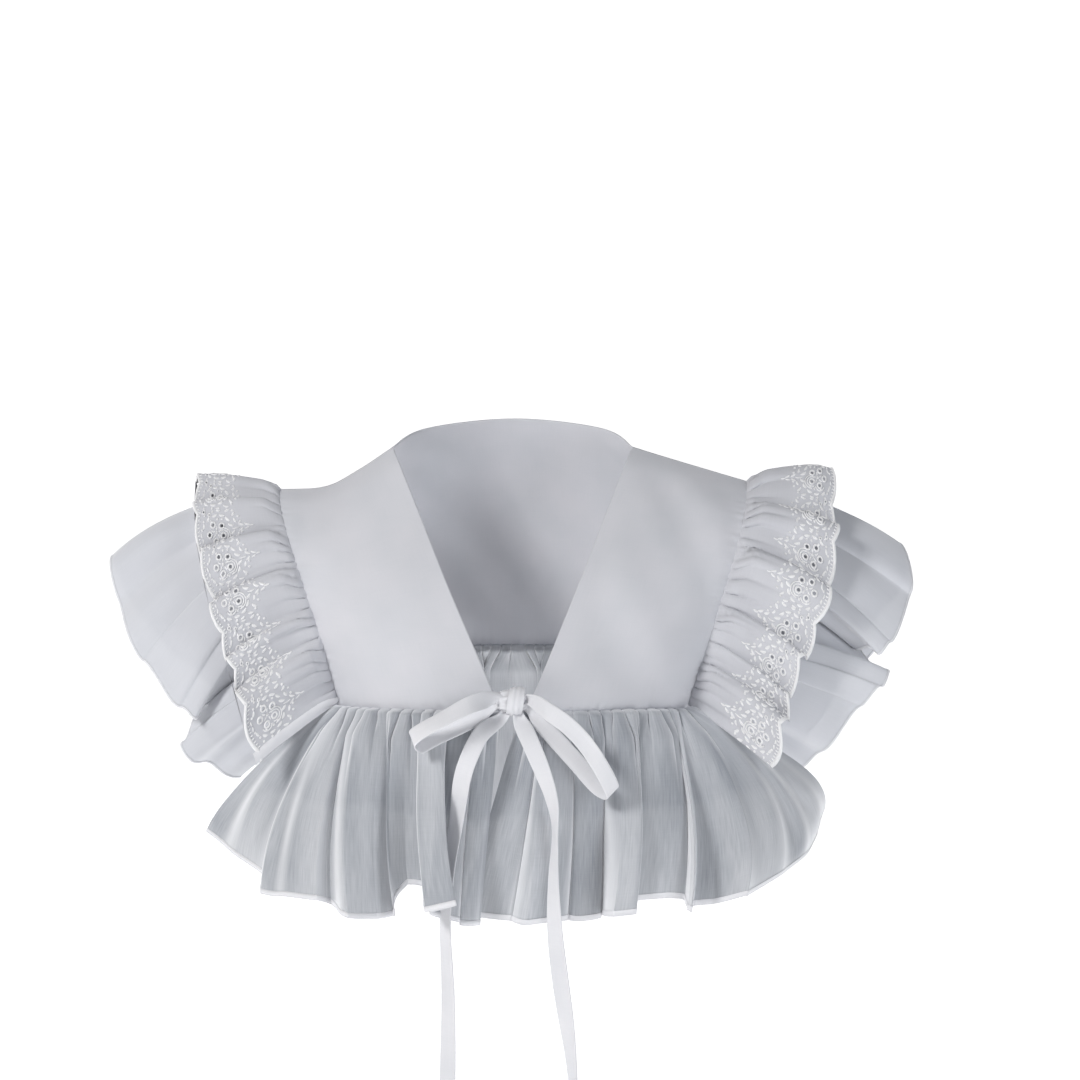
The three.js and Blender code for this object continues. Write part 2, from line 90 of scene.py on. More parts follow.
# Bow
RIBBON_WIDTH = 13
RIBBON_RIM = 0.16
KNOT_CENTRE = np.array([-0.6, -125, -168.5])
KNOT_BUNDLE = np.array([11.2, 6.8, 7.8])
WRAP_WIDTH = 10.5
WRAP_DEPTH = 8.6
WRAP_HEIGHT = 10.6
WRAP_LEAN = 1.4
WRAP_SHIFT = 2.6
# How much narrower a ribbon is in the knot, over what stretch, and how far it cups
PINCH = 0.5
PINCH_START = 3
PINCH_REACH = 22
PINCH_CUP = 2.6

# What a strip was cut longer for its small gathers
GATHER_ALLOWANCE = 1.06

# Edges of the yoke: x y z in mm
NECK_LEFT = np.array([
    [-93, 0, 0], [-86, -20, -12], [-69, -50, -47],
    [-47, -86, -94], [-16, -117, -160], [-9, -118, -179]], float)
NECK_RIGHT = np.array([
    [91, 0, 0], [84, -20, -12], [68, -50, -47],
    [46, -86, -96], [15, -117, -166], [5, -118, -179]], float)
SHOULDER_LEFT = np.array([[-93, 0, 0], [-120, 0, -18], [-146, 0, -31], [-181, 0, -33]], float)
SHOULDER_RIGHT = np.array([[91, 0, 0], [120, 0, -9], [150, 0, -18], [180, 0, -27]], float)
ARMHOLE_LEFT = np.array([
    [-181, 0, -33], [-180, -17, -41], [-173, -35, -62],
    [-162, -48, -92], [-147, -57, -136], [-133, -52, -192]], float)
ARMHOLE_RIGHT = np.array([
    [180, 0, -27], [179, -17, -35], [175, -35, -52],
    [166, -49, -82], [149, -57, -136], [132, -52, -194]], float)
LOWER_LEFT = np.array([[-9, -118, -179], [-54, -110, -180], [-101, -86, -185], [-133, -52, -192]], float)
LOWER_RIGHT = np.array([[5, -118, -179], [57, -110, -180], [102, -86, -185], [132, -52, -194]], float)
NECK_BACK = np.array([[-93, 0, 0], [-70, 44, 8], [0, 70, 12], [69, 44, 8], [91, 0, 0]], float)

# Fold rows of the ruffles: seam share, hem x y z, bow
LACE_LEFT = np.array([
    [0.01, -195, -96, -229, 3],
    [0.08, -204, -88, -203, 4],
    [0.17, -212, -76, -170, 5],
    [0.25, -223, -70, -137, 6],
    [0.33, -232, -58, -103, 6],
    [0.42, -243, -36, -62, 6],
    [0.5, -247, 0, -29, 5]], float)
LACE_RIGHT = np.array([
    [0.01, 199, -100, -231, 3],
    [0.08, 206, -92, -206, 4],
    [0.17, 213, -78, -174, 5],
    [0.25, 228, -70, -140, 6],
    [0.33, 240, -58, -110, 6],
    [0.42, 246, -36, -66, 6],
    [0.5, 248, 0, -24, 11]], float)
ORGANZA_LEFT = np.array([
    [0, -215, -20, -258, 4],
    [0.05, -232, -34, -249, 5],
    [0.12, -257, -46, -225, 8],
    [0.2, -230, -24, -190, 4],
    [0.3, -246, -56, -200, 6],
    [0.4, -286, -42, -158, 8],
    [0.46, -306, -20, -119, 8],
    [0.5, -314, 0, -88, 14]], float)
ORGANZA_RIGHT = np.array([
    [0, 224, -22, -250, 4],
    [0.05, 240, -36, -232, 5],
    [0.12, 270, -48, -190, 8],
    [0.19, 288, -38, -168, 8],
    [0.26, 254, -20, -148, 4],
    [0.36, 284, -46, -150, 6],
    [0.44, 308, -18, -106, 8],
    [0.5, 300, 0, -76, 8]], float)
FLOUNCE_LEFT = np.array([
    [0, -25, -128, -342, 5],
    [0.1, -38, -129, -340, 6],
    [0.25, -60, -134, -329, 6],
    [0.3, -42, -160, -315, 7],
    [0.36, -60, -156, -322, 7],
    [0.41, -67, -121, -314, 6],
    [0.47, -77, -119, -312, 6],
    [0.55, -86, -140, -330, 7],
    [0.575, -90, -117, -337, 6],
    [0.64, -102, -124, -337, 6],
    [0.71, -113, -146, -331, 8],
    [0.79, -130, -126, -327, 8],
    [0.85, -147, -131, -321, 10],
    [0.9, -166, -121, -323, 12],
    [0.925, -187, -108, -325, 14],
    [0.94, -184, -92, -318, 14],
    [0.952, -213, -70, -306, 16],
    [0.965, -236, -43, -297, 18]], float)
FLOUNCE_RIGHT = np.array([
    [0, -40, -116, -338, 2],
    [0.05, -22, -119, -338, 3],
    [0.1, -5, -131, -336, 6],
    [0.15, 12, -137, -337, 7],
    [0.2, 30, -132, -337, 6],
    [0.31, 52, -121, -339, 5],
    [0.41, 67, -112, -338, 5],
    [0.47, 73, -147, -328, 8],
    [0.56, 91, -149, -325, 8],
    [0.62, 90, -131, -321, 7],
    [0.7, 107, -130, -320, 7],
    [0.78, 122, -136, -321, 8],
    [0.83, 130, -154, -323, 10],
    [0.855, 135, -121, -329, 10],
    [0.885, 148, -124, -327, 13],
    [0.92, 170, -140, -316, 20],
    [0.94, 200, -112, -308, 28],
    [0.955, 224, -78, -301, 34],
    [0.965, 238, -42, -284, 38]], float)

# Lace puffs: the seam share where each starts, and its height at the hem
PUFFS_LEFT = np.array([[0.01, 9], [0.155, 6], [0.21, 9], [0.305, 9], [0.385, 8], [0.455, 6], [0.5, 0]], float)
PUFFS_RIGHT = np.array([[0.01, 9], [0.11, 5], [0.15, 8], [0.22, 10], [0.345, 9], [0.434, 7], [0.5, 0]], float)

# Embroidery round a flower, mirrored about it: mm along and from its middle, angle, length, width
LEAVES = np.array([
    [3.4, -13.6, 62, 5.2, 2.4],
    [8.6, -11.6, 36, 5.0, 2.3],
    [12.6, -7.2, 68, 5.0, 2.3],
    [13.6, -0.6, 100, 5.0, 2.3],
    [12.0, 6.0, 130, 4.8, 2.2],
    [7.6, 11.6, 152, 4.6, 2.0],
    [16.2, -12.0, 110, 4.6, 2.0],
    [16.9, -4.6, 80, 3.8, 1.8],
    [6.4, -17.6, 20, 4.4, 2.0],
    [12.2, -16.4, 140, 4.4, 2.0],
    [2.2, 14.8, 10, 3.6, 1.6]])
DOTS = np.array([
    [10.0, -2.8, 0.55],
    [9.4, -6.9, 0.5],
    [9.6, 3.6, 0.5],
    [5.6, 13.4, 0.5],
    [16.6, 0.6, 0.55],
    [15.4, 8.4, 0.5],
    [11.0, 10.4, 0.5],
    [4.8, -21.4, 0.55],
    [9.6, -20.4, 0.5],
    [15.0, -16.6, 0.5]])
# The sprig that points to the seam
SPRIG = np.array([
    [0.0, -17.0, 90, 6.0, 1.3],
    [-2.4, -21.0, 130, 4.6, 2.0],
    [2.4, -21.8, 50, 4.6, 2.0],
    [-1.8, -25.6, 120, 4.2, 1.8],
    [1.8, -26.2, 60, 4.2, 1.8],
    [0.2, -29.2, 90, 3.6, 1.6]])
# Arcs round an eyelet: petal, radius, first angle, sweep
ARCS = ((3, 4.3, 150, 240), (3, 6.1, 175, 190), (2, 4.3, 100, 150))

# Ribbon rows: x y z, roll and turn of the width in degrees
LOOP_LEFT = np.array([
    [-4, -127, -167, 92, 0],
    [-13, -131, -164.5, 94, 0],
    [-31, -147, -166, 122, 50],
    [-50, -151, -175, 138, 70],
    [-64, -150, -183, 138, 70],
    [-73, -144, -192, 130, 60],
    [-68, -139, -198, 125, 50],
    [-55, -137, -192, 128, 55],
    [-33, -133, -182, 120, 45],
    [-14, -126, -171, 106, 0],
    [-4, -124, -169, 96, 0]], float)
LOOP_RIGHT = np.array([
    [4, -127, -168, 88, 0],
    [12.5, -131, -166, 86, 0],
    [26, -146, -171, 72, 0],
    [40, -151, -180, 58, 0],
    [53, -151, -194, 50, 0],
    [65, -150, -213, 46, 0],
    [73, -145, -232, 48, 0],
    [63, -139, -230, 46, 0],
    [46, -137, -211, 44, 0],
    [24, -132, -187, 50, 0],
    [12, -127, -174, 70, 0],
    [4, -124, -169, 84, 0]], float)
TAIL_LEFT = np.array([
    [-1.5, -125, -170, -8, 0],
    [-7.6, -128, -179.5, -14, 0],
    [-22, -138, -189, -45, 10],
    [-31, -142, -205, -20, 10],
    [-37, -141, -224, -8, 15],
    [-41, -139, -253, 0, 35],
    [-47, -140, -292, 0, 48],
    [-50, -141, -333, 0, 50],
    [-48, -142, -389, 0, 40],
    [-49, -142, -451, 0, 25],
    [-51, -142, -492, 0, 35]], float)
TAIL_RIGHT = np.array([
    [2, -125, -170, 0, 0],
    [5.2, -130, -180.6, 8, 0],
    [13, -143, -195, 30, 0],
    [22, -148, -216, 15, 20],
    [29, -149, -238, 0, 45],
    [31, -148, -262, 0, 72],
    [30, -147, -300, 0, 55],
    [31, -146, -337, 0, 30],
    [35, -144, -375, 0, 15],
    [39, -142, -406, 0, 25],
    [43, -140, -440, 0, 50],
    [47, -139, -490, 0, 70]], float)


# Curves and noise
def rows_at(rows, place, crispness=0.0):
    """Values of every column at places between the rows, smooth or straighter between rows."""
    last = len(rows) - 1
    i = np.clip(np.floor(place).astype(int), 0, last - 1)
    t = (place - i)[..., None]
    a, b, c, d = (rows[np.clip(i + k, 0, last)] for k in (-1, 0, 1, 2))
    rounded = b + 0.5 * t * (c - a + t * (2 * a - 5 * b + 4 * c - d + t * (3 * (b - c) + d - a)))
    return rounded * (1 - crispness) + (b + (c - b) * t) * crispness


def every_row(rows, steps):
    return rows_at(rows, np.linspace(0, len(rows) - 1, (len(rows) - 1) * steps + 1))


def edge(rows):
    return every_row(rows, 12)


def along(points, share):
    """Points at shares of a run's length."""
    lengths = np.linalg.norm(np.diff(points, axis=0), axis=1)
    reached = np.concatenate([[0], np.cumsum(lengths)]) / lengths.sum()
    return np.stack([np.interp(share, reached, points[:, k]) for k in range(3)], axis=-1)


def unit(v):
    return v / np.maximum(np.linalg.norm(v, axis=-1, keepdims=True), 1e-9)


def run_length(points):
    return np.linalg.norm(np.diff(points, axis=0), axis=1).sum()


def run_reached(points):
    """The length of the run up to each of its points."""
    return np.concatenate([[0], np.cumsum(np.linalg.norm(np.diff(points, axis=0), axis=1))])


def ripple(x, seed, low, high, count=9):
    """Smooth seeded waviness of about -1 to 1, with wavelengths from low to high."""
    rng = np.random.default_rng(seed)
    waves = 1 / rng.uniform(low, high, count)
    phases = rng.uniform(0, 2 * np.pi, count)
    return sum(np.sin(2 * np.pi * w * x + p) for w, p in zip(waves, phases)) / np.sqrt(count)


def smooth(low, high, x):
    t = np.clip((x - low) / (high - low), 0, 1)
    return t * t * (3 - 2 * t)


def back_rows(rows):
    """The rows mirrored behind the shoulder."""
    y = 2 if rows.shape[1] == 5 else 1
    mirrored = rows.copy()
    mirrored[:, y] *= -BACK_DEPTH
    return mirrored


def with_back(rows):
    back = back_rows(rows)[:-1][::-1].copy()
    back[:, 0] = 1 - back[:, 0]
    return np.concatenate([rows, back])


def armhole_seam(rows):
    return np.concatenate([edge(rows)[::-1], edge(back_rows(rows))[1:]])


def lower_back_seam():
    left = back_rows(LOWER_LEFT)[1:][::-1]
    right = back_rows(LOWER_RIGHT)[1:]
    return edge(np.concatenate([left, right]))


class Pleats:
    """Uneven rounded gathers side by side along a run, each dying out at its own reach."""

    def __init__(self, length, seed, widths, heights, reaches):
        rng = np.random.default_rng(seed)
        ends = [0.0]
        while ends[-1] < length:
            ends.append(ends[-1] + rng.uniform(*widths))
        self.ends = np.array(ends) * length / ends[-1]
        self.heights = rng.uniform(*heights, len(ends) - 1)
        self.reaches = rng.uniform(*reaches, len(ends) - 1)

    def __call__(self, s, mm, rise):
        """mm off the face and along the run."""
        k = np.clip(np.searchsorted(self.ends, s, side="right") - 1, 0, len(self.heights) - 1)
        width = self.ends[k + 1] - self.ends[k]
        x = np.clip((s - self.ends[k]) / width, 0, 1)
        mm = np.maximum(mm, 0)
        strength = smooth(0, rise, mm) * np.exp(-(mm / self.reaches[k]) ** 1.5)
        swell = np.sin(np.pi * x) ** PLEAT_ROUNDNESS
        draw = -np.sin(2 * np.pi * x) * width * PLEAT_DRAW
        return swell * self.heights[k] * strength, draw * strength


class Gathered:
    """A gathered strip. Each fold row runs from its place on the seam to its point on the hem."""

    def __init__(self, seam, folds, side, layer, start, crispness=0.0):
        self.seam, self.folds, self.side = seam, folds, side
        self.layer, self.start, self.crispness = layer, start, crispness
        self.last = len(folds) - 1
        self.seam_length = run_length(seam)

    def seam_share(self, place):
        return np.interp(place, np.arange(self.last + 1), self.folds[:, 0])

    def frame(self, place):
        share = self.seam_share(place)
        row = rows_at(self.folds, place, self.crispness)
        base = along(self.seam, share)
        out = row[..., 1:4] - base
        step = 0.02
        run = along(self.seam, np.minimum(share + step, 1)) - along(self.seam, np.maximum(share - step, 0))
        face = unit(np.cross(run, out)) * self.side
        base = base + face * self.layer + unit(out) * self.start
        return base, out, face, unit(base - BOW_CENTRE), row[..., 4], share, unit(run)

    def __call__(self, place, t, lift=None):
        """Points at places and shares t of the way to the hem; lift gives mm off the face and along."""
        base, out, face, away, bow, share, run = self.frame(place)
        t = t[..., None]
        point = base + out * t + away * bow[..., None] * 4 * t * (1 - t)
        if lift is not None:
            off, slide = lift(share, t[..., 0])
            point = point + face * off[..., None] + run * slide[..., None]
        return point


# Mesh making
def mesh_object(name, points, faces, uv=None):
    mesh = bpy.data.meshes.new(name)
    mesh.from_pydata([tuple(p) for p in np.asarray(points) * MM], [], faces)
    if uv is not None:
        layer = mesh.uv_layers.new(name="UVMap")
        loops = np.empty(len(mesh.loops), dtype=np.int32)
        mesh.loops.foreach_get("vertex_index", loops)
        layer.data.foreach_set("uv", (np.asarray(uv) * MM)[loops].astype(np.float32).ravel())
    mesh.polygons.foreach_set("use_smooth", [True] * len(mesh.polygons))
    mesh.update()
    obj = bpy.data.objects.new(name, mesh)
    bpy.context.scene.collection.objects.link(obj)
    return obj


def grid_faces(columns, rows):
    i, j = np.meshgrid(np.arange(columns - 1), np.arange(rows - 1), indexing="ij")
    a = (i * rows + j).ravel()
    return np.stack([a, a + rows, a + rows + 1, a + 1], axis=1).tolist()


def grid_object(name, grid, uv=None):
    """grid is columns by rows by 3."""
    columns, rows = grid.shape[:2]
    if uv is None:
        u = run_reached(grid[:, rows // 2])
        v = run_reached(grid[columns // 2])
        uv = np.stack(np.meshgrid(u, v, indexing="ij"), axis=-1)
    return mesh_object(name, grid.reshape(-1, 3), grid_faces(columns, rows), uv.reshape(-1, 2))


def grid_normals(grid):
    du = np.gradient(grid, axis=0)
    dv = np.gradient(grid, axis=1)
    return unit(np.cross(du, dv))


def thicken(obj, thickness):
    solid = obj.modifiers.new("Thickness", "SOLIDIFY")
    solid.thickness = thickness * MM
    solid.offset = 0.0
    solid.use_even_offset = False


def join(name, objects):
    """Joins mesh objects into one."""
    with bpy.context.temp_override(active_object=objects[0], selected_editable_objects=objects):
        bpy.ops.object.join()
    objects[0].name = objects[0].data.name = name
    return objects[0]


def place_piece(obj, material, nodes=()):
    obj.data.materials.clear()
    obj.data.materials.append(material)
    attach(obj, "root")
    if nodes:
        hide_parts(*nodes)


# Materials
class Nodes:
    def __init__(self, name):
        self.material = bpy.data.materials.new(name)
        self.material.use_nodes = True
        self.tree = self.material.node_tree
        self.shader = self.tree.nodes["Principled BSDF"]

    def add(self, kind, **values):
        node = self.tree.nodes.new(kind)
        for key, value in values.items():
            setattr(node, key, value)
        return node

    def link(self, source, target):
        self.tree.links.new(source, target)

    def uv(self, scale):
        coords = self.add("ShaderNodeUVMap", uv_map="UVMap")
        mapping = self.add("ShaderNodeMapping")
        mapping.inputs["Scale"].default_value = scale
        self.link(coords.outputs["UV"], mapping.inputs["Vector"])
        return mapping.outputs["Vector"]

    def noise(self, vector, scale, detail=3.0):
        node = self.add("ShaderNodeTexNoise")
        node.inputs["Scale"].default_value = scale
        node.inputs["Detail"].default_value = detail
        self.link(vector, node.inputs["Vector"])
        return node.outputs["Fac"]

    def wave(self, vector, scale, direction, distortion):
        node = self.add("ShaderNodeTexWave", bands_direction=direction)
        node.inputs["Scale"].default_value = scale
        node.inputs["Distortion"].default_value = distortion
        node.inputs["Detail"].default_value = 1.0
        self.link(vector, node.inputs["Vector"])
        return node.outputs["Fac"]

    def math(self, operation, a, b):
        node = self.add("ShaderNodeMath", operation=operation)
        for socket, value in zip(node.inputs, (a, b)):
            if isinstance(value, (int, float)):
                socket.default_value = value
            else:
                self.link(value, socket)
        return node.outputs[0]

    def ramp(self, factor, stops):
        node = self.add("ShaderNodeValToRGB")
        elements = node.color_ramp.elements
        while len(elements) < len(stops):
            elements.new(0.5)
        for element, (position, color) in zip(elements, stops):
            element.position = position
            element.color = (*color, 1)
        self.link(factor, node.inputs["Fac"])
        return node.outputs["Color"]

    def mix(self, a, b, share_of_b):
        rest = self.math("MULTIPLY", a, 1 - share_of_b)
        return self.math("ADD", rest, self.math("MULTIPLY", b, share_of_b))

    def bump(self, height, strength, distance):
        node = self.add("ShaderNodeBump")
        node.inputs["Strength"].default_value = strength
        node.inputs["Distance"].default_value = distance
        self.link(height, node.inputs["Height"])
        self.link(node.outputs["Normal"], self.shader.inputs["Normal"])


def cloth_material(name, dark, light, thread, roughness, sheen, weave_depth, alpha=1.0, slub=0.35,
                   crosswise=0.5, clouding=(22, 22), edge_on=None):
    """Woven cloth: threads each way at a pitch of thread mm, with slubs and faint clouding.

    Sheer cloth takes the edge_on colour where it turns away, as more of its threads lie in line.
    """
    nodes = Nodes(name)
    per_thread = nodes.uv((1, 1, 1))
    pitch = 1 / (thread * MM) / 2
    bands = pitch * 0.32
    warp = nodes.wave(per_thread, bands, "X", 0.6)
    weft = nodes.wave(per_thread, bands, "Y", 0.6)
    weave = nodes.math("MULTIPLY", warp, weft)
    streaks = nodes.noise(nodes.uv((1600, 50, 1)), 1.0, 2.0)
    bars = nodes.noise(nodes.uv((50, 1600, 1)), 1.0, 2.0)
    grain = nodes.mix(streaks, bars, crosswise)
    clouds = nodes.noise(nodes.uv((*clouding, 1)), 1.0, 2.0)
    tone = nodes.mix(clouds, grain, slub)
    color = nodes.ramp(tone, [(0.36, dark), (0.62, light)])
    if edge_on:
        turned = nodes.add("ShaderNodeLayerWeight")
        turned.inputs["Blend"].default_value = 0.5
        mixed = nodes.add("ShaderNodeMix", data_type="RGBA")
        share = nodes.ramp(turned.outputs["Facing"], [(0.2, (0, 0, 0)), (0.75, (1, 1, 1))])
        nodes.link(share, mixed.inputs["Factor"])
        nodes.link(color, mixed.inputs[6])
        mixed.inputs[7].default_value = (*edge_on, 1)
        color = mixed.outputs[2]
    nodes.link(color, nodes.shader.inputs["Base Color"])
    height = nodes.math("ADD", nodes.math("MULTIPLY", weave, 0.6), nodes.math("MULTIPLY", grain, 0.7))
    nodes.bump(height, 0.5, weave_depth * MM)
    nodes.shader.inputs["Roughness"].default_value = roughness
    nodes.shader.inputs["Sheen Weight"].default_value = sheen
    nodes.shader.inputs["Sheen Roughness"].default_value = 0.45
    nodes.shader.inputs["Specular IOR Level"].default_value = 0.25
    nodes.shader.inputs["Alpha"].default_value = alpha
    return nodes.material


def satin_material(name, color):
    """Embroidery thread: fine ridges with a soft shine, and painted shade in the grooves between them."""
    nodes = Nodes(name)
    ridges = nodes.wave(nodes.uv((1, 1, 1)), 900.0, "X", 0.8)
    # Painted shade: the grooves between the ridges are coloured 7% darker than their tops
    shade = nodes.ramp(ridges, [(0.1, tuple(c * 0.93 for c in color)), (0.7, color)])
    nodes.link(shade, nodes.shader.inputs["Base Color"])
    nodes.bump(ridges, 0.6, 0.0002)
    nodes.shader.inputs["Roughness"].default_value = 0.5
    nodes.shader.inputs["Sheen Weight"].default_value = 0.2
    nodes.shader.inputs["Specular IOR Level"].default_value = 0.45
    return nodes.material


COTTON = cloth_material("yoke_cotton", (0.60, 0.61, 0.645), (0.645, 0.645, 0.68), 0.35, 0.85, 0.1, 0.08)
LACE = cloth_material("eyelet_lace_cotton", (0.54, 0.545, 0.58), (0.61, 0.615, 0.65), 0.4, 0.85, 0.1, 0.10)
SATIN = satin_material("lace_embroidery", (0.97, 0.97, 0.98))
ORGANZA = cloth_material(
    "organza_sheer", (0.585, 0.60, 0.64), (0.63, 0.64, 0.68), 0.3, 0.6, 0.15, 0.04, alpha=0.95,
    slub=0.4, crosswise=0.3, clouding=(26, 8), edge_on=(0.72, 0.73, 0.76))
CHIFFON = cloth_material(
    "flounce_sheer", (0.29, 0.31, 0.345), (0.54, 0.555, 0.585), 0.3, 0.6, 0.15, 0.05, alpha=0.95,
    slub=0.3, crosswise=0.2, clouding=(26, 5), edge_on=(0.80, 0.81, 0.835))
HEM = cloth_material("sheer_hem", (0.74, 0.745, 0.775), (0.80, 0.80, 0.825), 0.3, 0.7, 0.15, 0.06)
RIBBON = cloth_material("tie_ribbon_cotton", (0.70, 0.705, 0.735), (0.76, 0.76, 0.785), 0.35, 0.8, 0.1, 0.08)
THREAD = satin_material("sewing_thread", (0.70, 0.70, 0.74))


# Yoke
def stretched(top, bottom, start, end, columns, rows):
    """A surface between four edges; top and bottom run the same way, and so do the sides."""
    u = np.linspace(0, 1, columns)[:, None, None]
    v = np.linspace(0, 1, rows)[None, :, None]
    top, bottom = (along(e, np.linspace(0, 1, columns))[:, None] for e in (top, bottom))
    start, end = (along(e, np.linspace(0, 1, rows))[None] for e in (start, end))
    corners = (1 - v) * ((1 - u) * top[:1] + u * top[-1:]) + v * ((1 - u) * bottom[:1] + u * bottom[-1:])
    return (1 - v) * top + v * bottom + (1 - u) * start + u * end - corners


def relaxed(grid, rounds):
    """Evens the inside of a panel out as cloth does, with its edges held."""
    grid = grid.copy()
    for _ in range(rounds):
        around = grid[:-2, 1:-1] + grid[2:, 1:-1] + grid[1:-1, :-2] + grid[1:-1, 2:]
        grid[1:-1, 1:-1] = around / 4
    return grid


def yoke_piece(name, grid, seed, flip, sewn_sides):
    """A cotton panel with soft drag folds, drawn in by its seams and puckered beside them."""
    columns, rows = grid.shape[:2]
    normal = grid_normals(grid) * (-1 if flip else 1)
    u = np.linspace(0, 1, columns)[:, None]
    v = np.linspace(0, 1, rows)[None, :]
    wide = run_length(grid[:, rows // 2])
    tall = run_length(grid[columns // 2])
    inside = smooth(0, 0.2, u) * smooth(0, 0.2, 1 - u) * smooth(0, 0.2, v) * smooth(0, 0.15, 1 - v)
    drag = 1.5 * ripple(v * tall * 0.8 - u * wide, seed, 46, 120, 6)
    drag = drag * (0.6 + 0.4 * ripple(u * wide, seed + 1, 90, 200))
    pucker = PUCKER * ripple(u * wide, seed + 2, 5, 11) * np.exp(-(1 - v) * tall / PUCKER_REACH)
    for side in sewn_sides:
        from_side = u if side == 0 else 1 - u
        beside = np.exp(-from_side * wide / PUCKER_REACH)
        pucker = pucker + PUCKER * ripple(v * tall, seed + 3 + side, 5, 11) * beside
    edges = smooth(0, 0.02, v) * smooth(0, 0.012, 1 - v) * smooth(0, 0.02, u) * smooth(0, 0.02, 1 - u)
    grid = grid + normal * (drag * inside + pucker * edges)[..., None]
    obj = grid_object(name, grid[:, ::-1] if flip else grid)
    thicken(obj, YOKE_THICKNESS)
    return obj


left_front = stretched(
    edge(SHOULDER_LEFT), edge(LOWER_LEFT), edge(NECK_LEFT), edge(ARMHOLE_LEFT), 100, 130)
right_front = stretched(
    edge(SHOULDER_RIGHT), edge(LOWER_RIGHT), edge(NECK_RIGHT), edge(ARMHOLE_RIGHT), 100, 130)
back_top = np.concatenate([edge(SHOULDER_LEFT)[::-1], edge(NECK_BACK)[1:-1], edge(SHOULDER_RIGHT)])
back_seam = lower_back_seam()
back_panel = relaxed(stretched(
    back_top, back_seam, edge(back_rows(ARMHOLE_LEFT)), edge(back_rows(ARMHOLE_RIGHT)), 220, 100), 600)

yokes = {
    "yoke_front_left_cloth": (
        yoke_piece("yoke_front_left_cloth", left_front, 11, True, [1]), "yoke_front_left"),
    "yoke_front_right_cloth": (
        yoke_piece("yoke_front_right_cloth", right_front, 23, False, [1]), "yoke_front_right"),
    "yoke_back_cloth": (yoke_piece("yoke_back_cloth", back_panel, 37, True, [0, 1]), "yoke_back"),
}
for piece, node in yokes.values():
    place_piece(piece, COTTON, [node])


# Sheer ruffles
def even_places(strip, columns):
    """Places spread by the run along the seam and along the hem together."""
    fine = np.linspace(0, strip.last, 4000)
    hem_run = run_reached(strip(fine, np.full(4000, 0.8)))
    seam_run = strip.seam_share(fine) * strip.seam_length
    measure = hem_run / hem_run[-1] + seam_run / seam_run[-1]
    return np.interp(np.linspace(measure[0], measure[-1], columns), measure, fine)


def soft_strip(name, strip, columns, rows, seed, gather, deep, hem_width, flip):
    """A sheer gathered strip with pleats at the seam, long soft folds and a narrow turned hem."""
    places = even_places(strip, columns)
    place = places[:, None] * np.ones((1, rows))
    t = np.linspace(0, 1, rows)[None, :] ** 1.2 * np.ones((columns, 1))
    length = np.linalg.norm(strip.frame(places)[1], axis=1)[:, None]
    reached = run_reached(strip(places, np.full(columns, 0.6)))[:, None]
    sway_mm = 0.6 + 0.5 * gather
    seam_heights = (3.0 * gather, 6.0 * gather)
    short = Pleats(strip.seam_length, seed, SEAM_PLEAT_WIDTHS, seam_heights, SEAM_PLEAT_REACHES)
    long_widths = (11 + 4 * deep, 26 + 14 * deep)
    long_heights = (2.4 * deep, 6.5 * deep)
    long = Pleats(strip.seam_length, seed + 1, long_widths, long_heights, LONG_FOLD_REACHES)

    def lift(share, t):
        s = share * strip.seam_length
        mm = t * length
        off_short, slide_short = short(s, mm, SEAM_PLEAT_RISE)
        off_long, slide_long = long(s, mm, LONG_FOLD_RISE)
        fall = ripple(reached, seed + 5, 18, 46, 8) * sway_mm * smooth(0.1, 0.7, t)
        sway = ripple(reached + mm * 0.4, seed + 9, 50, 120, 6) * sway_mm * smooth(0.15, 0.8, t)
        hanging = 0.15 + 0.85 * smooth(0, 0.1, share) * smooth(0, 0.1, 1 - share)
        return off_short + off_long * hanging + fall + sway, slide_short + slide_long * hanging

    grid = strip(place, t, lift)
    uv = np.stack([reached + 0 * t, t * length], axis=-1)
    cloth = grid_object(name, grid[:, ::-1] if flip else grid, uv[:, ::-1] if flip else uv)
    across = unit(grid_normals(grid)[:, -1])
    inner = 1 - hem_width / length
    outer = 1 + 0 * inner
    profile = (
        (inner, 0.0), (inner, 0.3), ((inner + 1) / 2, 0.45), (outer, 0.3), (outer, -0.3), (inner, -0.3))
    band = np.stack([
        strip(place[:, :1], share, lift)[:, 0] + across * height for share, height in profile], axis=1)
    lanes = np.linspace(0, 8, band.shape[1])[None]
    band_uv = np.stack([reached + 0 * lanes, lanes + 0 * reached], axis=-1)
    return cloth, grid_object(name + "_hem", band, band_uv)


def place_soft(name, node, slot, material, **shape):
    cloth, hem = soft_strip(name, **shape)
    place_piece(cloth, material, [node])
    place_piece(hem, HEM)
    return cloth, hem


seams = {"left": armhole_seam(ARMHOLE_LEFT), "right": armhole_seam(ARMHOLE_RIGHT)}
organza = {
    "left": Gathered(seams["left"], with_back(ORGANZA_LEFT), 1, -LAYER_OFFSET, SEAM_TUCK),
    "right": Gathered(seams["right"], with_back(ORGANZA_RIGHT), -1, -LAYER_OFFSET, SEAM_TUCK),
}
organza_pieces = {
    side: place_soft(
        f"organza_{side}", f"organza_ruffle_{side}", "organza", ORGANZA, strip=organza[side],
        columns=420, rows=50, seed=seed, gather=0.45, deep=0.3, hem_width=2.0, flip=side == "left")
    for side, seed in (("left", 50), ("right", 57))
}


